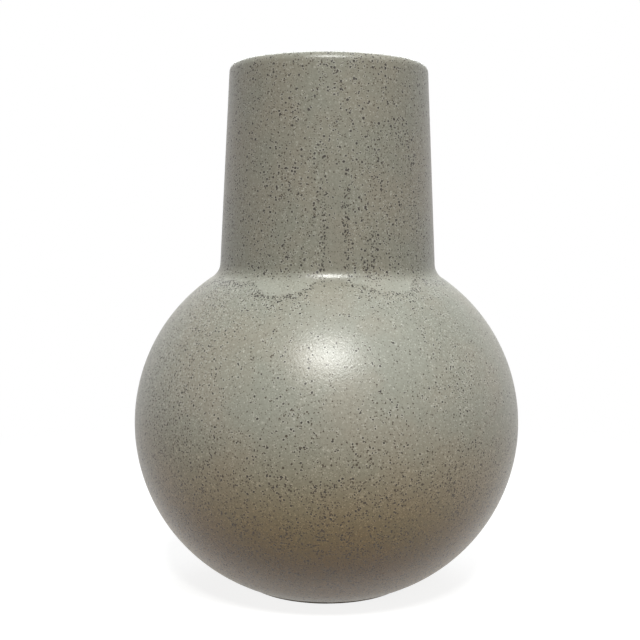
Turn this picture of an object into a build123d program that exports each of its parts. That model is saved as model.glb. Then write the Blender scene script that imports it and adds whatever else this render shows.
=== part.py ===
from build123d import *

import os
from math import cos, radians, sin, sqrt

# Bottle vase in glazed stoneware. A thrown globe carries a tapered neck and a low foot ring.
# Both are luted on with slip, a coil of clay is worked into the shoulder's corner, and the
# fired clay wears a speckled coat outside and a plain liner inside.
# The frame stands on the table: +Z up, origin at the centre of the foot.

# Driving dimensions, in millimetres and degrees. Outside sizes are those of the finished glaze.
globe_diameter = 186.0
globe_arc_offset = 8.5  # the meridian arc's centre stands this far off the axis
globe_wall = 6.2
floor_thickness = 7.0
floor_corner_radius = 14.0

neck_rise = 98.7  # from the shoulder's crease up to the top of the lip
neck_wall = 7.4
neck_taper = 2.85
mouth_diameter = 94.7
opening_edge_radius = 4.0
shoulder_cove_radius = 8.3
coil_groove_radius = 3.6  # the corner outside the joint is cut back this far for the coil

foot_diameter = 81.0
foot_width = 6.5
foot_height = 2.8
foot_lift = 0.7  # height of the globe's curve over the table at the foot's outer edge
foot_edge_radius = 0.5

glaze_thickness = 0.5
glaze_edge_radius = 0.3
glaze_line_height = 2.2  # the coat ends here above the table
mouth_overlap = 14.0  # the outer coat reaches this far down inside the mouth
slip_thickness = 0.7

# Values worked out from the driving dimensions
globe_arc = globe_diameter / 2 - globe_arc_offset
clay_arc = globe_arc - glaze_thickness
foot_radius = foot_diameter / 2
globe_centre = foot_lift + sqrt(globe_arc**2 - (foot_radius - globe_arc_offset) ** 2)
foot_seat = foot_height + slip_thickness
floor_top = foot_seat + floor_thickness

taper_up = Vector(-sin(radians(neck_taper)), cos(radians(neck_taper)))
taper_out = Vector(cos(radians(neck_taper)), sin(radians(neck_taper)))
clay_half_wall = neck_wall / 2
finished_half_wall = clay_half_wall + glaze_thickness
lip_to_crease = neck_rise - finished_half_wall
crease_radius = mouth_diameter / 2 - lip_to_crease * taper_up.X / taper_up.Y
crease_height = globe_centre + sqrt(globe_arc**2 - (crease_radius - globe_arc_offset) ** 2)
crease = Vector(crease_radius, crease_height)
overall_height = crease_height + neck_rise
lip_centre = Vector(
    mouth_diameter / 2 - finished_half_wall / taper_out.X,
    overall_height - finished_half_wall,
)
mouth_line = overall_height - mouth_overlap

meridian_centre = Vector(globe_arc_offset, globe_centre)
glaze_line_radius = globe_arc_offset + sqrt(clay_arc**2 - (globe_centre - glaze_line_height) ** 2)
glaze_line = Vector(glaze_line_radius, glaze_line_height)

# Reach of the trimming shapes, larger than the vase in every direction
reach = overall_height + globe_diameter


def neck_point(offset, height):
    """A point at a height on the line along the neck, offset outwards from the middle of its wall."""
    on_line = lip_centre + taper_out * offset
    return on_line + taper_up * ((height - on_line.Y) / taper_up.Y)


def below(height):
    """Cuts everything under a height."""
    with Locations((0, height)):
        Rectangle(2 * reach, 2 * reach, align=(Align.CENTER, Align.MAX), mode=Mode.SUBTRACT)


def above(height):
    """Cuts everything over a height."""
    with Locations((0, height)):
        Rectangle(2 * reach, 2 * reach, align=(Align.CENTER, Align.MIN), mode=Mode.SUBTRACT)


def polygon(*points, mode=Mode.ADD):
    """A face with straight edges."""
    with BuildLine() as edge:
        Polyline(*points, close=True)
    make_face(edge.edges(), mode=mode)


def globe_section(arc):
    """The globe's half-section inside an arc about its meridian's centre."""
    with BuildSketch(Plane.XZ) as section:
        with Locations(meridian_centre):
            Circle(arc)
        with Locations((0, globe_centre)):
            Rectangle(globe_arc_offset, 2 * arc, align=(Align.MIN, Align.CENTER))
            Rectangle(reach, 2 * reach, align=(Align.MIN, Align.CENTER), mode=Mode.INTERSECT)
    return section.sketch_local


def bore(offset, top, mode=Mode.ADD):
    """The half-section between the axis and a line along the neck, from inside the globe up to a top."""
    low = neck_point(offset, globe_centre)
    high = neck_point(offset, top)
    polygon((0, low.Y), (low.X, low.Y), (high.X, high.Y), (0, high.Y), mode=mode)


def neck_band(half_wall):
    """The neck wall's half-section with its full round lip, carried down inside the globe."""
    with BuildLine() as edge:
        outside = Line(neck_point(half_wall, globe_centre), lip_centre + taper_out * half_wall)
        lip_top = lip_centre + taper_up * half_wall
        lip = ThreePointArc(outside @ 1, lip_top, lip_centre - taper_out * half_wall)
        inside = Line(lip @ 1, neck_point(-half_wall, globe_centre))
        Line(inside @ 1, outside @ 0)
    make_face(edge.edges())


def outside_section(depth):
    """The half-section inside the vase's outer skin, at the glaze or at the clay a depth under it."""
    with BuildSketch(Plane.XZ) as section:
        add(globe_section(globe_arc - depth))
        neck_band(finished_half_wall - depth)
        corner = section.vertices().sort_by_distance(crease)[0]
        fillet(corner, radius=shoulder_cove_radius + depth)
    return section.sketch_local


def hollow_section(depth):
    """The half-section of the hollow, at the clay or at the liner a depth over it."""
    with BuildSketch(Plane.XZ) as section:
        add(globe_section(clay_arc - globe_wall - depth))
        below(floor_top + depth)
        floor_corner = section.vertices().group_by(Axis.Y)[0].sort_by(Axis.X)[-1]
        fillet(floor_corner, radius=floor_corner_radius - depth)
        bore(-clay_half_wall - depth, overall_height)
        opening = neck_point(-clay_half_wall - depth, crease_height)
        corner = section.vertices().sort_by_distance(opening)[0]
        fillet(corner, radius=opening_edge_radius + depth)
    return section.sketch_local


finished_outside = outside_section(0)
clay_outside = outside_section(glaze_thickness)
clay_hollow = hollow_section(0)
lined_hollow = hollow_section(glaze_thickness)
clay_globe = globe_section(clay_arc)
slipped_globe = globe_section(clay_arc + slip_thickness)

with BuildSketch(Plane.XZ) as coil_section:
    add(clay_outside)
    add(clay_globe, mode=Mode.SUBTRACT)
    bore(clay_half_wall, overall_height, mode=Mode.SUBTRACT)
    with Locations(crease):
        Circle(coil_groove_radius)
    add(clay_outside, mode=Mode.INTERSECT)
worked_coil = coil_section.sketch_local

# Globe: one thrown wall and floor, opened for the neck and cut flat below for the foot
with BuildPart() as globe:
    with BuildSketch(Plane.XZ):
        add(clay_globe)
        below(foot_seat)
        add(clay_hollow, mode=Mode.SUBTRACT)
        add(worked_coil, mode=Mode.SUBTRACT)
    revolve(axis=Axis.Z)
globe.part.label = "globe"

# Neck: a tapered collar with a full round lip, its foot shaped to the shoulder's slope
with BuildPart() as neck:
    with BuildSketch(Plane.XZ):
        neck_band(clay_half_wall)
        add(slipped_globe, mode=Mode.SUBTRACT)
        add(worked_coil, mode=Mode.SUBTRACT)
    revolve(axis=Axis.Z)
neck.part.label = "neck"

# Neck slip: the luting layer between the shoulder and the neck's foot
with BuildPart() as neck_slip:
    with BuildSketch(Plane.XZ):
        neck_band(clay_half_wall)
        add(slipped_globe, mode=Mode.INTERSECT)
        add(clay_globe, mode=Mode.SUBTRACT)
        add(worked_coil, mode=Mode.SUBTRACT)
    revolve(axis=Axis.Z)
neck_slip.part.label = "neck_slip"

# Shoulder coil: clay pressed into the groove outside the joint and worked to a smooth cove
with BuildPart() as shoulder_coil:
    with BuildSketch(Plane.XZ):
        add(worked_coil)
    revolve(axis=Axis.Z)
shoulder_coil.part.label = "shoulder_coil"

# Foot ring: a low ring that carries on the globe's curve, bare where it stands
with BuildPart() as foot_ring:
    with BuildSketch(Plane.XZ) as ring_section:
        add(clay_globe)
        Rectangle(foot_radius, foot_height, align=Align.MIN)
        above(foot_height)
        below(0)
        Rectangle(foot_radius - foot_width, foot_height, align=Align.MIN, mode=Mode.SUBTRACT)
        fillet(ring_section.vertices().group_by(Axis.Y)[0], radius=foot_edge_radius)
    revolve(axis=Axis.Z)
foot_ring.part.label = "foot_ring"

# Foot slip: the luting layer between the globe's underside and the foot ring
with BuildPart() as foot_slip:
    with BuildSketch(Plane.XZ):
        add(clay_globe)
        above(foot_seat)
        below(foot_height)
        Rectangle(foot_radius - foot_width, foot_seat, align=Align.MIN, mode=Mode.SUBTRACT)
    revolve(axis=Axis.Z)
foot_slip.part.label = "foot_slip"

# Outer glaze: the speckled coat, ended square to the curve above the foot and level inside the mouth
with BuildPart() as outer_glaze:
    with BuildSketch(Plane.XZ) as coat_section:
        add(finished_outside)
        add(clay_outside, mode=Mode.SUBTRACT)
        bore(0, mouth_line, mode=Mode.SUBTRACT)
        past_line = meridian_centre + (glaze_line - meridian_centre) * 2
        polygon(
            (meridian_centre.X, meridian_centre.Y),
            (past_line.X, past_line.Y),
            (-reach, past_line.Y),
            (-reach, meridian_centre.Y),
            mode=Mode.SUBTRACT,
        )
        lower_edge = coat_section.vertices().group_by(Axis.Y)[0]
        fillet(lower_edge, radius=glaze_edge_radius)
    revolve(axis=Axis.Z)
outer_glaze.part.label = "outer_glaze"

# Liner glaze: the plain coat inside, up to the outer coat's edge in the mouth
with BuildPart() as liner_glaze:
    with BuildSketch(Plane.XZ):
        add(clay_hollow)
        add(lined_hollow, mode=Mode.SUBTRACT)
        above(mouth_line)
    revolve(axis=Axis.Z)
liner_glaze.part.label = "liner_glaze"

os.makedirs("parts", exist_ok=True)
export_step(globe.part, "parts/globe.step")
export_step(neck.part, "parts/neck.step")
export_step(neck_slip.part, "parts/neck_slip.step")
export_step(shoulder_coil.part, "parts/shoulder_coil.step")
export_step(foot_ring.part, "parts/foot_ring.step")
export_step(foot_slip.part, "parts/foot_slip.step")
export_step(outer_glaze.part, "parts/outer_glaze.step")
export_step(liner_glaze.part, "parts/liner_glaze.step")
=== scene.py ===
from math import atan2, asin, cos, pi, radians, sin, sqrt, tau

import bmesh
import bpy
from bpy.props import FloatProperty, FloatVectorProperty, IntProperty, PointerProperty
from mathutils import Matrix, Vector


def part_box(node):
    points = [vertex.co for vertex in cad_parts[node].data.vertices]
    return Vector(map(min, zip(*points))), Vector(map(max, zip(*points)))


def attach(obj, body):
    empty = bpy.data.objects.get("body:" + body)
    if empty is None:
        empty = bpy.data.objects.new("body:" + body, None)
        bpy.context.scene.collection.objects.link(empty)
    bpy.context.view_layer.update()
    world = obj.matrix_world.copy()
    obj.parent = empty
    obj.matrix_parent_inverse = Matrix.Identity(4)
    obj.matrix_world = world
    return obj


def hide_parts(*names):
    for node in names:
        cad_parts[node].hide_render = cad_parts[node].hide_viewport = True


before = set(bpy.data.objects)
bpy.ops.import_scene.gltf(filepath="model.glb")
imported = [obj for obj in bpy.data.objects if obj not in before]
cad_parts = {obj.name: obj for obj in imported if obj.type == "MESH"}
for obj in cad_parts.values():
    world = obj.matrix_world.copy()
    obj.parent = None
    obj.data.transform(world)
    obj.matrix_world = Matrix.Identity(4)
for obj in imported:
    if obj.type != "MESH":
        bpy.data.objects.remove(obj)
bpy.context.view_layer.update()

bl_info = {
    "name": "Bottle vase",
    "version": (1, 0, 0),
    "blender": (4, 5, 0),
    "location": "View3D > Sidebar > Vase",
    "description": "Glazes a thrown bottle vase and sets it on a pale table",
    "category": "Object",
}

coat_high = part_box("outer_glaze")[1]
liner_low, liner_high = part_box("liner_glaze")

AIM_HEIGHT = 0.12  # the lamps face this point on the axis
TABLE_RADIUS = 3.0
TABLE_DROP = 0.0001  # keeps the table's face off the foot's


# Sizes and colours

class VaseSizes(bpy.types.PropertyGroup):
    """Sizes of the finished vase, in metres."""

    globe_diameter: FloatProperty(
        name="Globe diameter", description="Across the globe over the glaze",
        default=0.186, unit="LENGTH", precision=5)
    globe_arc_offset: FloatProperty(
        name="Arc offset", description="Distance of the meridian arc's centre from the axis",
        default=0.0085, unit="LENGTH", precision=5)
    globe_wall: FloatProperty(
        name="Globe wall", description="Thickness of the globe's clay",
        default=0.0062, unit="LENGTH", precision=5)
    floor_height: FloatProperty(
        name="Floor height", description="Top of the clay floor above the table",
        default=liner_low[2], unit="LENGTH", precision=5)
    floor_corner_radius: FloatProperty(
        name="Floor corner", description="Radius between the floor and the wall inside",
        default=0.014, unit="LENGTH", precision=5)
    overall_height: FloatProperty(
        name="Height", description="From the table to the top of the lip",
        default=coat_high[2], unit="LENGTH", precision=5)
    neck_wall: FloatProperty(
        name="Neck wall", description="Thickness of the neck's clay",
        default=0.0074, unit="LENGTH", precision=5)
    neck_taper: FloatProperty(
        name="Neck taper", description="Lean of the neck's wall towards the axis",
        default=radians(2.85), unit="ROTATION", precision=5)
    mouth_diameter: FloatProperty(
        name="Mouth diameter", description="Across the neck where the round of the lip begins",
        default=0.0947, unit="LENGTH", precision=5)
    opening_edge_radius: FloatProperty(
        name="Opening edge", description="Rounding of the globe's opening under the neck",
        default=0.004, unit="LENGTH", precision=5)
    shoulder_cove_radius: FloatProperty(
        name="Shoulder cove", description="Radius of the hollow between globe and neck",
        default=0.0083, unit="LENGTH", precision=5)
    foot_radius: FloatProperty(
        name="Foot radius", description="Outer edge of the foot ring",
        default=0.0405, unit="LENGTH", precision=5)
    foot_lift: FloatProperty(
        name="Foot lift", description="Height of the globe's curve at the foot's outer edge",
        default=0.0007, unit="LENGTH", precision=5)
    glaze_thickness: FloatProperty(
        name="Glaze", description="Thickness of both coats",
        default=0.0005, unit="LENGTH", precision=5)
    glaze_line_height: FloatProperty(
        name="Glaze line", description="Height at which the speckled coat ends over the foot",
        default=0.0022, unit="LENGTH", precision=5)
    glaze_roll_radius: FloatProperty(
        name="Glaze roll", description="Radius of the roll of glaze along its lower edge",
        default=0.0003, unit="LENGTH", precision=5)
    mouth_line: FloatProperty(
        name="Mouth line", description="Height at which the two coats meet inside the mouth",
        default=liner_high[2], unit="LENGTH", precision=5)
    turn_steps: IntProperty(
        name="Steps per turn", description="Faces around each coat", default=192, min=24)


class VaseColours(bpy.types.PropertyGroup):
    """Colours of the fired clay and its glazes, and the tinges that paint shade on the speckled coat.
    """

    glaze_grey: FloatVectorProperty(
        name="Grey green glaze", description="Main colour of the speckled coat",
        default=(0.318, 0.322, 0.268), subtype="COLOR")
    glaze_warm: FloatVectorProperty(
        name="Warm glaze", description="Where the speckled coat breaks warmer",
        default=(0.335, 0.318, 0.258), subtype="COLOR")
    speck_dark: FloatVectorProperty(
        name="Iron speck", description="Bold specks of iron",
        default=(0.017, 0.011, 0.005), subtype="COLOR")
    speck_brown: FloatVectorProperty(
        name="Brown speck", description="Small and faint specks, and the blots over the foot",
        default=(0.048, 0.032, 0.015), subtype="COLOR")
    fleck_pale: FloatVectorProperty(
        name="Pale fleck", description="Flecks, lobes under the crease and rings round bold specks",
        default=(0.720, 0.715, 0.640), subtype="COLOR")
    # Painted shade: darkens the speckled coat up the neck and a little over the shoulder
    neck_shade_tinge: FloatVectorProperty(
        name="Neck shade", description="Painted shade on the speckled coat up the neck and over the shoulder",
        default=(0.805, 0.800, 0.780), subtype="COLOR")
    # Darker and browner towards the foot: partly the glaze itself, partly painted shade under the globe
    # and a painted warm reflection of the table
    foot_tinge_and_shade: FloatVectorProperty(
        name="Foot tinge and shade", description="Tinge of the speckled coat towards the foot, part glaze, part painted shade and table reflection",
        default=(0.755, 0.560, 0.230), subtype="COLOR")
    liner: FloatVectorProperty(
        name="Liner", description="Plain glaze inside",
        default=(0.420, 0.412, 0.350), subtype="COLOR")
    liner_pool: FloatVectorProperty(
        name="Pooled liner", description="Tinge of the plain glaze where it pools",
        default=(0.330, 0.315, 0.250), subtype="COLOR")
    clay: FloatVectorProperty(
        name="Stoneware", description="Bare fired clay",
        default=(0.460, 0.345, 0.240), subtype="COLOR")
    clay_toast: FloatVectorProperty(
        name="Toasted stoneware", description="Tinge of the clay where the fire reached it",
        default=(0.660, 0.460, 0.300), subtype="COLOR")
    grog: FloatVectorProperty(
        name="Grog", description="Coarse grains in the clay",
        default=(0.620, 0.520, 0.400), subtype="COLOR")
    slip: FloatVectorProperty(
        name="Slip", description="Fired slip in the joints",
        default=(0.380, 0.280, 0.190), subtype="COLOR")
    slip_smear: FloatVectorProperty(
        name="Smeared slip", description="Tinge of the slip where it smeared",
        default=(0.600, 0.500, 0.400), subtype="COLOR")


class VaseStage(bpy.types.PropertyGroup):
    """The table, the lamps and the camera."""

    lamp_power: FloatProperty(
        name="Lamp power", description="Power of each of the two front lamps",
        default=27.0, unit="POWER")
    lamp_size: FloatProperty(
        name="Lamp size", description="Side of each square lamp", default=0.28, unit="LENGTH")
    lamp_distance: FloatProperty(
        name="Lamp distance", description="From the vase to the lamps", default=2.5, unit="LENGTH")
    lamp_height: FloatProperty(
        name="Lamp height", description="Angle of the lamps above level",
        default=radians(50.2), unit="ROTATION")
    lamp_side: FloatProperty(
        name="Lamp side", description="Angle of the lamps to the right of the camera",
        default=radians(1.0), unit="ROTATION")
    lamp_spread: FloatProperty(
        name="Lamp spread", description="Angle of each lamp from the middle of the two",
        default=radians(8.4), unit="ROTATION")
    lamp_colour: FloatVectorProperty(
        name="Lamp colour", description="Colour of the two front lamps",
        default=(0.985, 1.0, 0.975), subtype="COLOR")
    sky_power: FloatProperty(
        name="Sky power", description="Power of the wide lamp overhead", default=8.5, unit="POWER")
    sky_size: FloatProperty(
        name="Sky size", description="Side of the wide lamp", default=1.75, unit="LENGTH")
    sky_distance: FloatProperty(
        name="Sky distance", description="From the vase to the wide lamp", default=1.5, unit="LENGTH")
    sky_height: FloatProperty(
        name="Sky height", description="Angle of the wide lamp above level",
        default=radians(62.0), unit="ROTATION")
    sky_side: FloatProperty(
        name="Sky side", description="Angle of the wide lamp to the right of the camera",
        default=radians(45.0), unit="ROTATION")
    sky_colour: FloatVectorProperty(
        name="Sky colour", description="Colour of the wide lamp",
        default=(0.94, 0.98, 1.0), subtype="COLOR")
    back_power: FloatProperty(
        name="Back power", description="Power of the wide lamp behind the vase",
        default=14.0, unit="POWER")
    back_size: FloatProperty(
        name="Back size", description="Side of the lamp behind the vase", default=1.1, unit="LENGTH")
    back_distance: FloatProperty(
        name="Back distance", description="From the vase to the lamp behind it",
        default=1.6, unit="LENGTH")
    back_height: FloatProperty(
        name="Back height", description="Angle of the lamp behind the vase above level",
        default=radians(38.0), unit="ROTATION")
    room_light: FloatProperty(
        name="Room light", description="Brightness of the room all round", default=0.01)
    table_white: FloatVectorProperty(
        name="Table", description="Colour of the table and the backdrop",
        default=(1.0, 1.0, 1.0), subtype="COLOR")
    table_glow: FloatProperty(
        name="Table glow", description="Share of the table's white that takes no shadow", default=0.86)
    table_chalk: FloatVectorProperty(
        name="Table chalk", description="Colour of the table's face that takes the shadow",
        default=(0.30, 0.30, 0.30), subtype="COLOR")
    table_bounce: FloatVectorProperty(
        name="Table bounce", description="Colour of the light that the table throws back up",
        default=(0.14, 0.06, 0.02), subtype="COLOR")
    camera_distance: FloatProperty(
        name="Camera distance", description="From the vase's axis to the lens",
        default=0.5132, unit="LENGTH")
    camera_height: FloatProperty(
        name="Camera height", description="Lens above the table", default=0.1764, unit="LENGTH")
    camera_pitch: FloatProperty(
        name="Camera pitch", description="Tilt down from level", default=0.0942, unit="ROTATION")
    camera_roll: FloatProperty(
        name="Camera roll", description="Turn about the line of sight", default=0.0069,
        unit="ROTATION")
    focal_length: FloatProperty(
        name="Focal length", description="On a sensor 36 mm wide, in millimetres", default=59.35)
    camera_shift: FloatProperty(
        name="Camera shift", description="Sideways shift of the frame, as a share of its width",
        default=-0.0112, precision=5)


# Profiles on the wheel

class Wheel:
    """A profile drawn in the XZ plane by its tip, then thrown round the vase's axis."""

    def __init__(self, start):
        self.mesh = bmesh.new()
        self.tip = self.mesh.verts.new((start.x, 0, start.y))

    def line(self, end, steps=1):
        """Carries the tip straight to a point."""
        stride = (Vector((end.x, 0, end.y)) - self.tip.co) / steps
        for _ in range(steps):
            self.tip = bmesh.ops.extrude_vert_indiv(self.mesh, verts=[self.tip])["verts"][0]
            bmesh.ops.translate(self.mesh, verts=[self.tip], vec=stride)

    def arc(self, centre, angle, steps):
        """Carries the tip round a centre, anticlockwise for a positive angle."""
        drawn = bmesh.ops.spin(
            self.mesh, geom=[self.tip], cent=(centre.x, 0, centre.y), axis=(0, -1, 0),
            angle=angle, steps=steps)
        self.tip = next(v for v in drawn["geom_last"] if isinstance(v, bmesh.types.BMVert))

    def throw(self, steps):
        """Turns the profile once round the axis and closes its seam and poles."""
        bmesh.ops.spin(
            self.mesh, geom=self.mesh.verts[:] + self.mesh.edges[:], cent=(0, 0, 0),
            axis=(0, 0, 1), angle=tau, steps=steps, use_merge=True)
        bmesh.ops.remove_doubles(self.mesh, verts=self.mesh.verts, dist=1e-6)
        bmesh.ops.recalc_face_normals(self.mesh, faces=self.mesh.faces)
        for face in self.mesh.faces:
            face.smooth = True

    def piece(self, name, node, material):
        """The thrown shape as a piece of the vase, in place of its plain node."""
        mesh = bpy.data.meshes.new(name)
        self.mesh.to_mesh(mesh)
        self.mesh.free()
        mesh.set_sharp_from_angle(angle=radians(40))
        mesh.materials.append(material)
        made = bpy.data.objects.new(name, mesh)
        bpy.context.scene.collection.objects.link(made)
        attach(made, "root")
        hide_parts(node)
        dress([node], material)
        return made


class Meridian:
    """Centres, radii and directions that both coats share, in the half plane (radius, height)."""

    def __init__(self, sizes):
        self.glaze = sizes.glaze_thickness
        self.globe_arc = sizes.globe_diameter / 2 - sizes.globe_arc_offset
        self.clay_arc = self.globe_arc - self.glaze
        rise = sqrt(self.globe_arc ** 2 - (sizes.foot_radius - sizes.globe_arc_offset) ** 2)
        self.globe_centre = Vector((sizes.globe_arc_offset, sizes.foot_lift + rise))
        self.taper = sizes.neck_taper
        self.up = Vector((-sin(self.taper), cos(self.taper)))
        self.out = Vector((cos(self.taper), sin(self.taper)))
        self.clay_half = sizes.neck_wall / 2
        self.half = self.clay_half + self.glaze
        self.lip = Vector((
            sizes.mouth_diameter / 2 - self.half / self.out.x, sizes.overall_height - self.half))

    def globe_point(self, arc, angle):
        """A point on an arc about the globe's centre."""
        return self.globe_centre + arc * Vector((cos(angle), sin(angle)))

    def neck_point(self, offset, height):
        """A point at a height on the line along the neck, offset from the middle of its wall."""
        start = self.lip + offset * self.out
        return start + self.up * ((height - start.y) / self.up.y)

    def blend_centre(self, offset, reach):
        """Upper point on the line along the neck at an offset, a reach away from the globe's centre."""
        start = self.lip + offset * self.out
        away = start - self.globe_centre
        along = away.dot(self.up)
        return start + self.up * (sqrt(along ** 2 - away.length_squared + reach ** 2) - along)

    def angle_of(self, point):
        """Angle of a point seen from the globe's centre."""
        away = point - self.globe_centre
        return atan2(away.y, away.x)


# Finishes

class Value:
    """A socket that carries a number or a colour; sums on it add Math nodes to its finish."""

    def __init__(self, finish, socket):
        self.finish = finish
        self.socket = socket

    def __neg__(self):
        return self.finish.sum("SUBTRACT", 0.0, self)

    def __abs__(self):
        return self.finish.sum("ABSOLUTE", self)

    def __add__(self, other):
        return self.finish.sum("ADD", self, other)

    def __radd__(self, other):
        return self.finish.sum("ADD", other, self)

    def __sub__(self, other):
        return self.finish.sum("SUBTRACT", self, other)

    def __rsub__(self, other):
        return self.finish.sum("SUBTRACT", other, self)

    def __mul__(self, other):
        return self.finish.sum("MULTIPLY", self, other)

    def __rmul__(self, other):
        return self.finish.sum("MULTIPLY", other, self)

    def __truediv__(self, other):
        return self.finish.sum("DIVIDE", self, other)

    def __rtruediv__(self, other):
        return self.finish.sum("DIVIDE", other, self)


class Finish:
    """The nodes of one material or of the room, written as sums on their sockets."""

    def __init__(self, owner):
        self.owner = owner
        owner.use_nodes = True
        self.tree = owner.node_tree
        self.tree.nodes.clear()

    def node(self, kind, settings, sockets):
        """Adds a node, sets it up, fills its sockets and gives back its outputs by name."""
        made = self.tree.nodes.new(kind)
        for name, value in settings.items():
            setattr(made, name, value)
        for name, value in sockets.items():
            socket = next(s for s in made.inputs if s.enabled and name in (s.identifier, s.name))
            if isinstance(value, Value):
                self.tree.links.new(value.socket, socket)
            else:
                socket.default_value = value
        return {s.name: Value(self, s) for s in made.outputs if s.enabled}

    def sum(self, operation, *values):
        """One Math node."""
        sockets = dict(zip(("Value", "Value_001"), values))
        return self.node("ShaderNodeMath", {"operation": operation}, sockets)["Value"]

    def clamp(self, value):
        """The value kept between 0 and 1."""
        return self.node("ShaderNodeClamp", {}, {"Value": value})["Result"]

    def ease(self, value, low, high):
        """0 under low, 1 over high and smooth between; the other way round if low is the greater."""
        return self.node(
            "ShaderNodeMapRange", {"interpolation_type": "SMOOTHSTEP"},
            {"Value": value, "From Min": low, "From Max": high})["Result"]

    def mix(self, share, first, second, way="MIX"):
        """A share of the second colour over the first."""
        return self.node(
            "ShaderNodeMix", {"data_type": "RGBA", "blend_type": way},
            {"Factor": share, "A": first, "B": second})["Result"]

    def grained(self, share, colour, noise, spread):
        """A colour under a share of soft light from a noise, spread to both sides of middle grey."""
        grey = self.mix(noise, opaque((0.5 - spread,) * 3), opaque((0.5 + spread,) * 3))
        return self.mix(share, colour, grey, "SOFT_LIGHT")

    def place(self):
        """The point on the vase, in millimetres."""
        point = self.node("ShaderNodeTexCoord", {}, {})["Object"]
        return self.node(
            "ShaderNodeVectorMath", {"operation": "SCALE"},
            {"Vector": point, "Scale": 1000.0})["Vector"]

    def stretch(self, place, x, y, z):
        """The point with its axes drawn out or pressed together."""
        return self.node(
            "ShaderNodeVectorMath", {"operation": "MULTIPLY"},
            {"Vector": place, "Vector_001": (x, y, z)})["Vector"]

    def clouds(self, place, size, detail=2.0, roughness=0.5):
        """Soft noise with features of a size in millimetres."""
        return self.node(
            "ShaderNodeTexNoise", {"noise_dimensions": "3D"},
            {"Vector": place, "Scale": 1.0 / size, "Detail": detail, "Roughness": roughness})

    def specks(self, place, pitch, smallest, largest, share, soft):
        """Round grains of mixed size, one at most in each cell of a pitch, in millimetres."""
        cell = self.node(
            "ShaderNodeTexVoronoi", {"voronoi_dimensions": "3D", "feature": "F1"},
            {"Vector": place, "Scale": 1.0 / pitch, "Randomness": 1.0})
        chance = self.node("ShaderNodeSeparateColor", {}, {"Color": cell["Color"]})
        radius = smallest + (largest - smallest) * chance["Red"] * chance["Red"]
        grain = self.clamp((radius - cell["Distance"] * pitch) / soft + 0.5)
        return grain * self.sum("GREATER_THAN", share, chance["Green"])

    def surface(self, **sockets):
        """Ends the material in one Principled shader."""
        shader = self.node("ShaderNodeBsdfPrincipled", {}, sockets)["BSDF"]
        self.node("ShaderNodeOutputMaterial", {}, {"Surface": shader})
        return self.owner

    def bump(self, height):
        """A normal from a height in millimetres."""
        return self.node("ShaderNodeBump", {}, {"Height": height, "Distance": 0.001})["Normal"]


def opaque(colour):
    """A colour with its alpha."""
    return (*colour, 1.0)


def dress(nodes, material):
    """Gives a material to plain nodes of the frame."""
    for name in nodes:
        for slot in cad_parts[name].material_slots:
            slot.material = material


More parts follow.
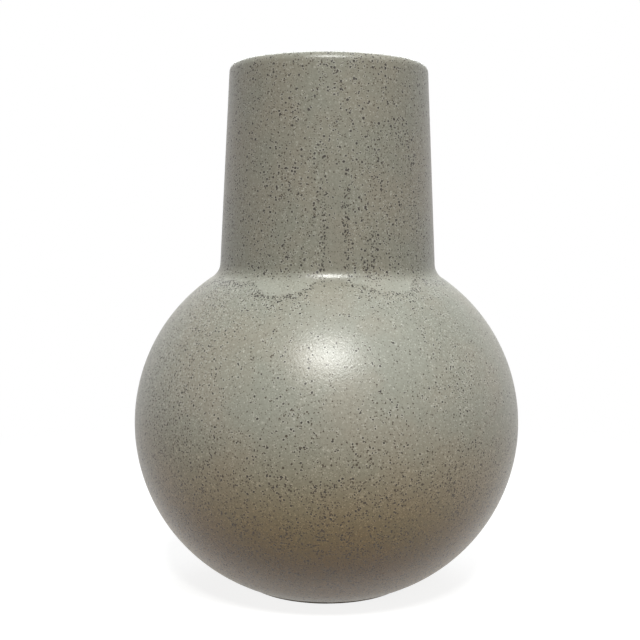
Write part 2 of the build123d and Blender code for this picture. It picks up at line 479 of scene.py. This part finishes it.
def speckled_glaze(colours):
    """Satin grey green glaze that ran in lobes off the crease, broken by iron specks."""
    crease = 150.5  # height of the crease and radius of the neck above it, in millimetres
    neck_radius = 51.0
    finish = Finish(bpy.data.materials.new("speckled_glaze"))
    place = finish.place()
    point = finish.node("ShaderNodeSeparateXYZ", {}, {"Vector": place})
    height = point["Z"]
    turn = finish.sum("ARCTAN2", point["X"], -point["Y"])
    hand = finish.sum("SIGN", turn)
    drift = finish.clouds(place, 9.0, 2.0)["Fac"] - 0.5
    on_neck = finish.ease(height, crease - 4.5, crease + 1.5)
    on_globe = 1.0 - on_neck

    # A run of smoother glaze down the front of the neck, between two streaks of specks
    arc = turn * neck_radius
    across = abs(arc - 3.2 + drift * 1.6)
    front = finish.ease(height, 214.0, 178.0) * on_neck
    band = finish.ease(across, 5.6, 4.4) * front
    pair = finish.ease(abs(across - 5.1), 1.5, 0.6) * front
    third = finish.ease(abs(arc - 19.5 + drift * 5.0), 4.4, 1.2)
    run = finish.sum("MAXIMUM", pair, third * finish.ease(height, 182.0, 164.0) * on_neck * 0.7)

    # Lobes of pale glaze that crept off the crease and pushed the specks ahead of them
    beside = finish.sum("MAXIMUM", abs(turn - 0.0375) - 0.1175, 0.0)
    further = finish.ease(beside, 0.50, 0.80)
    roam = (finish.clouds(place, 42.0, 1.0)["Fac"] - 0.5) * finish.ease(beside, 0.6, 1.2)
    phase = beside * (5.07 - 0.48 * hand) + roam * 9.0
    swell = finish.sum("POWER", abs(finish.sum("SINE", phase)), 0.8)
    crept = 3.3 - 1.4 * hand + finish.clouds(place, 30.0, 1.0)["Fac"] * 5.5
    crept = crept * (1.0 - further) + further * 2.2
    crept = finish.sum("MAXIMUM", crept + drift * 4.0 + roam * 14.0, 0.0)
    edge = crease - swell * crept
    lobe = finish.ease(height - edge, -0.3, 1.2) * finish.ease(height, crease + 2.5, crease - 1.5)
    rim = finish.ease(abs(height - edge + 0.8), 1.7, 0.7)
    rim = rim * finish.ease(height, crease + 1.5, crease - 0.5)
    lines = finish.sum("MAXIMUM", rim * finish.ease(swell, 0.0, 0.3) * 0.85, run)
    pushed = finish.ease(edge - height, 12.0, 1.0) * finish.ease(swell, 0.1, 0.5)
    pushed = pushed * (1.0 - lobe) * on_globe

    # Where the specks gather: patches and thin trails on the globe, streaks down the neck
    patches = finish.clouds(place, 26.0, 3.0)["Fac"]
    clusters = finish.clouds(place, 5.5, 2.0)["Fac"]
    gather = finish.ease(patches * 0.45 + clusters * 0.55, 0.41, 0.63)
    trails = finish.clouds(place, 17.0, 2.0)["Fac"]
    trail = finish.ease(abs(trails - 0.5), 0.03, 0.0) * on_globe
    streaks = finish.clouds(finish.stretch(place, 1.0, 1.0, 0.06), 11.0, 2.0)["Fac"]
    streak = finish.ease(abs(streaks - 0.5), 0.035, 0.0) * on_neck
    left = finish.ease(turn, -0.3, -1.0) * on_globe
    sides = finish.ease(abs(turn), 0.3, 0.9) * on_globe
    low = finish.ease(height, 94.0, 50.0)
    crowd = gather * 0.37 + trail * 0.35 + streak * 0.45 + left * 0.42
    crowd = crowd + low * 0.34 + on_neck * 0.25 + pushed * 0.45
    crowd = crowd * (1.0 - lobe * 0.85) * (1.0 - band * 0.6)

    # Grains with ragged outlines
    wander = finish.clouds(place, 0.6, 1.0)["Color"]
    ragged = finish.node(
        "ShaderNodeVectorMath", {"operation": "MULTIPLY_ADD"},
        {"Vector": wander, "Vector_001": (0.42, 0.42, 0.42), "Vector_002": place})["Vector"]
    bold = finish.specks(ragged, 1.40, 0.33, 0.56 + on_neck * 0.10, crowd * 0.80, 0.05)
    halo = finish.specks(ragged, 1.40, 0.62, 0.90, crowd * 0.80, 0.25)
    small = finish.specks(ragged, 0.95, 0.22, 0.42, crowd * 0.66 + 0.08, 0.06)
    dense = finish.specks(ragged, 1.00, 0.30, 0.54, lines * 0.90, 0.06)
    blot = finish.specks(ragged, 1.15, 0.34, 0.58, low * (0.12 + gather * 0.50), 0.06)
    faint = finish.specks(ragged, 0.85, 0.14, 0.28, 0.50, 0.10)
    fleck = 0.36 - on_neck * 0.16 - band * 0.2 + low * 0.3 + sides * 0.2
    pale = finish.specks(ragged, 0.80, 0.18, 0.33, fleck, 0.10)

    # Colour: a grey green ground that breaks warmer, darkened up the neck and shoulder by painted
    # shade, then flecks and specks, all darker and browner over the foot, partly the glaze and partly
    # painted shade and a painted reflection of the table
    hue = finish.ease(finish.clouds(place, 34.0, 3.0, 0.6)["Fac"], 0.36, 0.66)
    ground = finish.mix(hue, opaque(colours.glaze_grey), opaque(colours.glaze_warm))
    # Painted shade: the ground darkened up the neck and a little over the shoulder; the smooth run down
    # the front is darker too
    painted_neck_shade = finish.ease(height, 100.0, 145.0) * 0.3 + on_neck * 0.7 + band * 0.3
    ground = finish.mix(painted_neck_shade, ground, opaque(colours.neck_shade_tinge), "MULTIPLY")
    ground = finish.mix(lobe * 0.15, ground, opaque(colours.fleck_pale))
    mottle = finish.clouds(place, 1.3, 3.0, 0.65)["Fac"]
    colour = finish.grained(0.7, ground, mottle, 0.3)
    grains = (
        (halo * (0.32 - on_neck * 0.10), colours.fleck_pale),
        (pale * (0.42 + low * 0.33 + sides * 0.15), colours.fleck_pale),
        (faint * 0.70, colours.speck_brown),
        (small * 0.95, colours.speck_brown),
        (blot * 0.95, colours.speck_brown),
        (dense * 0.97, colours.speck_dark),
        (bold * 0.97, colours.speck_dark))
    for share, shade in grains:
        colour = finish.mix(share, colour, opaque(shade))
    # Darker and browner towards the foot: partly the glaze itself, partly painted shade under the globe
    # and a painted warm reflection of the table
    foot_tinge_and_shade_share = finish.ease(height, 100.0, 26.0)
    colour = finish.mix(foot_tinge_and_shade_share, colour, opaque(colours.foot_tinge_and_shade), "MULTIPLY")

    # Satin surface with a fine orange peel; the iron lies a little dull and proud
    peel = finish.clouds(place, 0.9, 2.0, 0.55)["Fac"]
    sway = finish.clouds(place, 9.0, 1.0)["Fac"]
    roughness = 0.305 + 0.08 * peel + 0.10 * bold - 0.06 * band
    normal = finish.bump(peel * 0.10 + sway * 0.03 + bold * 0.02)
    return finish.surface(**{
        "Base Color": colour, "Roughness": roughness, "Normal": normal, "IOR": 1.55})


def liner_glaze(colours):
    """Plain glaze that runs smooth over the spiral of the thrower's fingers."""
    finish = Finish(bpy.data.materials.new("liner_glaze"))
    place = finish.place()
    point = finish.node("ShaderNodeSeparateXYZ", {}, {"Vector": place})
    turn = finish.sum("ARCTAN2", point["Y"], point["X"])
    spiral = finish.sum("SINE", point["Z"] * (tau / 7.5) + turn)
    depth = finish.clouds(place, 22.0, 2.0)["Fac"]
    mottle = finish.clouds(place, 12.0, 4.0, 0.6)["Fac"]
    deep = finish.mix(0.5, opaque(colours.liner), opaque(colours.liner_pool), "MULTIPLY")
    shade = finish.mix(finish.ease(mottle, 0.3, 0.72) * 0.45, opaque(colours.liner), deep)
    pools = finish.clamp(spiral * -0.5) * 0.22
    shade = finish.mix(pools, shade, deep)
    pin = finish.specks(place, 3.4, 0.10, 0.30, 0.16, 0.14)
    colour = finish.mix(pin * 0.7, shade, opaque(colours.speck_brown))
    peel = finish.clouds(place, 2.2, 2.0)["Fac"]
    normal = finish.bump(spiral * depth * 0.12 + peel * 0.03)
    return finish.surface(**{
        "Base Color": colour, "Roughness": 0.20 + 0.08 * peel, "Normal": normal, "IOR": 1.5})


def bare_stoneware(colours):
    """Bare fired clay: fine grog, iron pinholes and the rings of the turning tool."""
    finish = Finish(bpy.data.materials.new("bare_stoneware"))
    place = finish.place()
    point = finish.node("ShaderNodeSeparateXYZ", {}, {"Vector": place})
    flat = finish.stretch(place, 1.0, 1.0, 0.0)
    reach = finish.node("ShaderNodeVectorMath", {"operation": "LENGTH"}, {"Vector": flat})["Value"]
    waver = finish.clouds(place, 11.0, 2.0)["Fac"]
    rings = finish.sum("SINE", reach * (tau / 1.9) + waver * 5.0)
    fine_rings = finish.sum("SINE", reach * (tau / 0.62) + waver * 9.0)
    under = finish.ease(point["Z"], 5.0, 3.6)
    sand = finish.clouds(place, 0.55, 3.0, 0.7)["Fac"]
    blush = finish.ease(finish.clouds(place, 17.0, 3.0, 0.6)["Fac"], 0.34, 0.68)
    grog = finish.specks(place, 1.5, 0.12, 0.42, 0.34, 0.12)
    iron = finish.specks(place, 2.6, 0.10, 0.36, 0.22, 0.10)
    toasted = finish.mix(0.55, opaque(colours.clay), opaque(colours.clay_toast), "MULTIPLY")
    colour = finish.mix(blush * 0.55, opaque(colours.clay), toasted)
    colour = finish.grained(0.45, colour, sand, 0.2)
    colour = finish.mix(grog * 0.5, colour, opaque(colours.grog))
    colour = finish.mix(iron * 0.8, colour, opaque(colours.speck_brown))
    marks = (rings * 0.5 + fine_rings * 0.3) * under
    normal = finish.bump(marks * 0.07 + sand * 0.10 + grog * 0.05 - iron * 0.06)
    return finish.surface(**{
        "Base Color": colour, "Roughness": 0.74 + 0.16 * sand, "Normal": normal, "IOR": 1.45})


def fired_slip(colours):
    """Slip that was squeezed out of a joint and fired: smoother and darker than the clay."""
    finish = Finish(bpy.data.materials.new("fired_slip"))
    place = finish.place()
    smear = finish.clouds(finish.stretch(place, 1.0, 1.0, 3.0), 6.0, 3.0, 0.6)["Fac"]
    silt = finish.clouds(place, 0.45, 2.0)["Fac"]
    dark = finish.mix(0.5, opaque(colours.slip), opaque(colours.slip_smear), "MULTIPLY")
    colour = finish.mix(finish.ease(smear, 0.3, 0.7), opaque(colours.slip), dark)
    normal = finish.bump(smear * 0.12 + silt * 0.04)
    return finish.surface(**{
        "Base Color": colour, "Roughness": 0.68 + 0.14 * silt, "Normal": normal, "IOR": 1.45})


# Operators

class VASE_OT_bare_clay(bpy.types.Operator):
    """Finishes the globe, the neck, the shoulder coil and the foot ring as bare fired clay"""

    bl_idname = "vase.bare_clay"
    bl_label = "Bare clay"

    def execute(self, context):
        material = bare_stoneware(context.scene.vase_colours)
        dress(["globe", "neck", "shoulder_coil", "foot_ring"], material)
        return {"FINISHED"}


class VASE_OT_luting_slip(bpy.types.Operator):
    """Finishes the two layers of slip that join the neck and the foot to the globe"""

    bl_idname = "vase.luting_slip"
    bl_label = "Luting slip"

    def execute(self, context):
        dress(["neck_slip", "foot_slip"], fired_slip(context.scene.vase_colours))
        return {"FINISHED"}


class VASE_OT_speckled_coat(bpy.types.Operator):
    """Throws the speckled coat from the glaze roll over the foot to its edge inside the mouth"""

    bl_idname = "vase.speckled_coat"
    bl_label = "Speckled coat"

    def execute(self, context):
        sizes = context.scene.vase_sizes
        line = Meridian(sizes)
        cove = sizes.shoulder_cove_radius
        roll = sizes.glaze_roll_radius
        low = asin((sizes.glaze_line_height - line.globe_centre.y) / line.clay_arc)
        settled = low + 7 * roll / line.globe_arc
        cove_centre = line.blend_centre(line.half + cove, line.globe_arc + cove)
        high = line.angle_of(cove_centre)

        # Outside: over the roll, up the globe, round the cove, up the neck and over the lip
        wheel = Wheel(line.globe_point(line.clay_arc, low))
        wheel.arc(line.globe_point(line.clay_arc + roll, low), pi, 8)
        wheel.line(line.globe_point(line.globe_arc, settled), 3)
        wheel.arc(line.globe_centre, high - settled, 72)
        wheel.arc(cove_centre, line.taper - high, 16)
        wheel.line(line.lip + line.half * line.out, 28)
        wheel.arc(line.lip, pi, 20)
        wheel.line(line.neck_point(-line.half, sizes.mouth_line), 5)

        # Back along the clay to the start
        wheel.line(line.neck_point(-line.clay_half, sizes.mouth_line))
        wheel.line(line.lip - line.clay_half * line.out, 2)
        wheel.arc(line.lip, -pi, 10)
        wheel.line(cove_centre - (cove + line.glaze) * line.out, 4)
        wheel.arc(cove_centre, high - line.taper, 8)
        wheel.arc(line.globe_centre, low - high, 36)
        wheel.throw(sizes.turn_steps)
        material = speckled_glaze(context.scene.vase_colours)
        wheel.piece("speckled_coat", "outer_glaze", material)
        return {"FINISHED"}


class VASE_OT_liner_coat(bpy.types.Operator):
    """Throws the plain liner from the middle of the floor up to the speckled coat in the mouth"""

    bl_idname = "vase.liner_coat"
    bl_label = "Liner coat"

    def execute(self, context):
        sizes = context.scene.vase_sizes
        line = Meridian(sizes)
        inner = line.clay_arc - sizes.globe_wall
        edge = sizes.opening_edge_radius
        corner = sizes.floor_corner_radius
        corner_height = sizes.floor_height + corner
        corner_reach = sqrt((inner - corner) ** 2 - (corner_height - line.globe_centre.y) ** 2)
        corner_centre = Vector((line.globe_centre.x + corner_reach, corner_height))
        edge_centre = line.blend_centre(edge - line.clay_half, inner + edge)
        low = line.angle_of(corner_centre)
        high = line.angle_of(edge_centre)

        # Glazed face: out along the floor, up the wall, over the opening's edge and up the neck
        wheel = Wheel(Vector((0, sizes.floor_height + line.glaze)))
        wheel.line(Vector((corner_centre.x, sizes.floor_height + line.glaze)), 8)
        wheel.arc(corner_centre, low + pi / 2, 8)
        wheel.arc(line.globe_centre, high - low, 56)
        wheel.arc(edge_centre, line.taper - high, 10)
        wheel.line(line.neck_point(-line.half, sizes.mouth_line), 20)

        # Back along the clay
        wheel.line(line.neck_point(-line.clay_half, sizes.mouth_line))
        wheel.line(edge_centre - edge * line.out, 4)
        wheel.arc(edge_centre, high - line.taper, 6)
        wheel.arc(line.globe_centre, low - high, 28)
        wheel.arc(corner_centre, -(low + pi / 2), 6)
        wheel.line(Vector((0, sizes.floor_height)), 3)
        wheel.throw(sizes.turn_steps)
        material = liner_glaze(context.scene.vase_colours)
        wheel.piece("liner_coat", "liner_glaze", material)
        return {"FINISHED"}


class VASE_OT_stage(bpy.types.Operator):
    """Sets the vase on a pale table, with lamps in front, overhead and behind, and the camera"""

    bl_idname = "vase.stage"
    bl_label = "Table, lamps and camera"

    def execute(self, context):
        stage = context.scene.vase_stage
        context.scene.view_settings.view_transform = "Standard"
        self.table(stage)
        self.room(context, stage)
        for side in (-1, 1):
            self.lamp(
                "front_lamp", stage.lamp_power, stage.lamp_colour, stage.lamp_size,
                stage.lamp_distance, stage.lamp_height, stage.lamp_side + side * stage.lamp_spread)
        self.lamp(
            "sky_lamp", stage.sky_power, stage.sky_colour, stage.sky_size,
            stage.sky_distance, stage.sky_height, stage.sky_side)
        self.lamp(
            "back_lamp", stage.back_power, stage.sky_colour, stage.back_size,
            stage.back_distance, stage.back_height, pi)
        self.camera(context, stage)
        return {"FINISHED"}

    def seen(self, finish):
        """1 for the rays that show the backdrop itself: to the camera, in a gloss or through glass."""
        path = finish.node("ShaderNodeLightPath", {}, {})
        shown = path["Is Camera Ray"] + path["Is Glossy Ray"] + path["Is Transmission Ray"]
        return finish.clamp(shown)

    def table(self, stage):
        """A wide disc that looks white, keeps the vase's shadow and throws warm light back up."""
        near, far = 160.0, 420.0  # between these, in millimetres, the shadow fades out to plain white
        finish = Finish(bpy.data.materials.new("pale_table"))
        place = finish.place()
        away = finish.node("ShaderNodeVectorMath", {"operation": "LENGTH"}, {"Vector": place})["Value"]
        white = opaque(stage.table_white)
        glow = finish.node(
            "ShaderNodeEmission", {}, {"Color": white, "Strength": stage.table_glow})["Emission"]
        chalk = finish.node("ShaderNodeBsdfDiffuse", {}, {"Color": opaque(stage.table_chalk)})["BSDF"]
        lit = finish.node("ShaderNodeAddShader", {}, {"Shader": glow, "Shader_001": chalk})["Shader"]
        plain = finish.node("ShaderNodeEmission", {}, {"Color": white, "Strength": 1.0})["Emission"]
        shown = finish.node(
            "ShaderNodeMixShader", {},
            {"Fac": finish.ease(away, near, far), "Shader": lit, "Shader_001": plain})["Shader"]
        bounce = finish.node("ShaderNodeBsdfDiffuse", {}, {"Color": opaque(stage.table_bounce)})["BSDF"]
        both = finish.node(
            "ShaderNodeMixShader", {},
            {"Fac": self.seen(finish), "Shader": bounce, "Shader_001": shown})["Shader"]
        finish.node("ShaderNodeOutputMaterial", {}, {"Surface": both})
        disc = bmesh.new()
        bmesh.ops.create_circle(disc, cap_ends=True, segments=96, radius=TABLE_RADIUS)
        bmesh.ops.translate(disc, verts=disc.verts, vec=(0, 0, -TABLE_DROP))
        mesh = bpy.data.meshes.new("table")
        disc.to_mesh(mesh)
        disc.free()
        mesh.materials.append(finish.owner)
        table = bpy.data.objects.new("table", mesh)
        bpy.context.scene.collection.objects.link(table)

    def room(self, context, stage):
        """Dim even light from all round, behind a white backdrop."""
        context.scene.world = bpy.data.worlds.new("room")
        finish = Finish(context.scene.world)
        dim = finish.node(
            "ShaderNodeBackground", {},
            {"Color": (1, 1, 1, 1), "Strength": stage.room_light})["Background"]
        white = finish.node(
            "ShaderNodeBackground", {},
            {"Color": opaque(stage.table_white), "Strength": 1.0})["Background"]
        both = finish.node(
            "ShaderNodeMixShader", {},
            {"Fac": self.seen(finish), "Shader": dim, "Shader_001": white})["Shader"]
        finish.node("ShaderNodeOutputWorld", {}, {"Surface": both})

    def lamp(self, name, power, colour, size, distance, height, side):
        """A soft square lamp that faces the vase, from angles above level and right of the camera."""
        light = bpy.data.lights.new(name, "AREA")
        light.shape = "SQUARE"
        light.size = size
        light.energy = power
        light.color = colour
        lamp = bpy.data.objects.new(name, light)
        lamp.matrix_world = (
            Matrix.Translation((0, 0, AIM_HEIGHT))
            @ Matrix.Rotation(side, 4, "Z")
            @ Matrix.Rotation(pi / 2 - height, 4, "X")
            @ Matrix.Translation((0, 0, distance)))
        bpy.context.scene.collection.objects.link(lamp)

    def camera(self, context, stage):
        """The camera at the photographed side, a little above the middle and tilted down."""
        lens = bpy.data.cameras.new("camera")
        lens.lens = stage.focal_length
        lens.sensor_width = 36.0
        lens.shift_x = stage.camera_shift
        lens.clip_start = 0.01
        camera = bpy.data.objects.new("camera", lens)
        camera.matrix_world = (
            Matrix.Translation((0, -stage.camera_distance, stage.camera_height))
            @ Matrix.Rotation(pi / 2 - stage.camera_pitch, 4, "X")
            @ Matrix.Rotation(stage.camera_roll, 4, "Z"))
        context.scene.collection.objects.link(camera)
        context.scene.camera = camera


class VASE_PT_build(bpy.types.Panel):
    """Sizes, colours and pieces of the vase"""

    bl_idname = "VASE_PT_build"
    bl_label = "Bottle vase"
    bl_space_type = "VIEW_3D"
    bl_region_type = "UI"
    bl_category = "Vase"

    def draw(self, context):
        for group in (context.scene.vase_sizes, context.scene.vase_colours, context.scene.vase_stage):
            box = self.layout.box()
            for name in group.__annotations__:
                box.prop(group, name)
        for operator in OPERATORS:
            self.layout.operator(operator.bl_idname)


OPERATORS = (
    VASE_OT_bare_clay, VASE_OT_luting_slip, VASE_OT_speckled_coat, VASE_OT_liner_coat, VASE_OT_stage)
CLASSES = (VaseSizes, VaseColours, VaseStage, *OPERATORS, VASE_PT_build)


def register():
    for cls in CLASSES:
        bpy.utils.register_class(cls)
    bpy.types.Scene.vase_sizes = PointerProperty(type=VaseSizes)
    bpy.types.Scene.vase_colours = PointerProperty(type=VaseColours)
    bpy.types.Scene.vase_stage = PointerProperty(type=VaseStage)


def unregister():
    del bpy.types.Scene.vase_stage
    del bpy.types.Scene.vase_colours
    del bpy.types.Scene.vase_sizes
    for cls in reversed(CLASSES):
        bpy.utils.unregister_class(cls)


def main():
    register()
    bpy.ops.vase.bare_clay()
    bpy.ops.vase.luting_slip()
    bpy.ops.vase.speckled_coat()
    bpy.ops.vase.liner_coat()
    bpy.ops.vase.stage()


if __name__ == "__main__":
    main()
